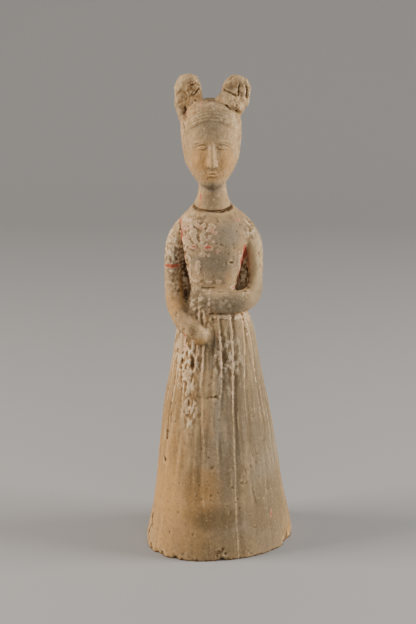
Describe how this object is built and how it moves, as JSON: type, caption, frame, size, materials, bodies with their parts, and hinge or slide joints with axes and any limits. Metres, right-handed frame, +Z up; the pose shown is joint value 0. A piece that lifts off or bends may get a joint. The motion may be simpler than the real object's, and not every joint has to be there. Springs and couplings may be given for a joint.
{
  "type": "standing woman figure",
  "caption": "Standing earthenware woman in a tight-sleeved jacket and a long pleated skirt, forearms in front, hair in two upright knots, with a separate head.",
  "frame": {"origin": "on the surface the figure stands on, below the middle of its plan outline", "axes": "+Z up, the figure faces -Y, and its left hand is towards +X"},
  "size_m": [0.0848, 0.0758, 0.2701],
  "materials": {
    "body_clay": "unglazed buff earthenware with traces of white slip, red pigment and burial soil",
    "head_clay": "unglazed buff earthenware, slightly paler, lightly stained"
  },
  "bodies": {
    "root": {"body": "body_clay", "head": "head_clay"}
  },
  "joints": []
}
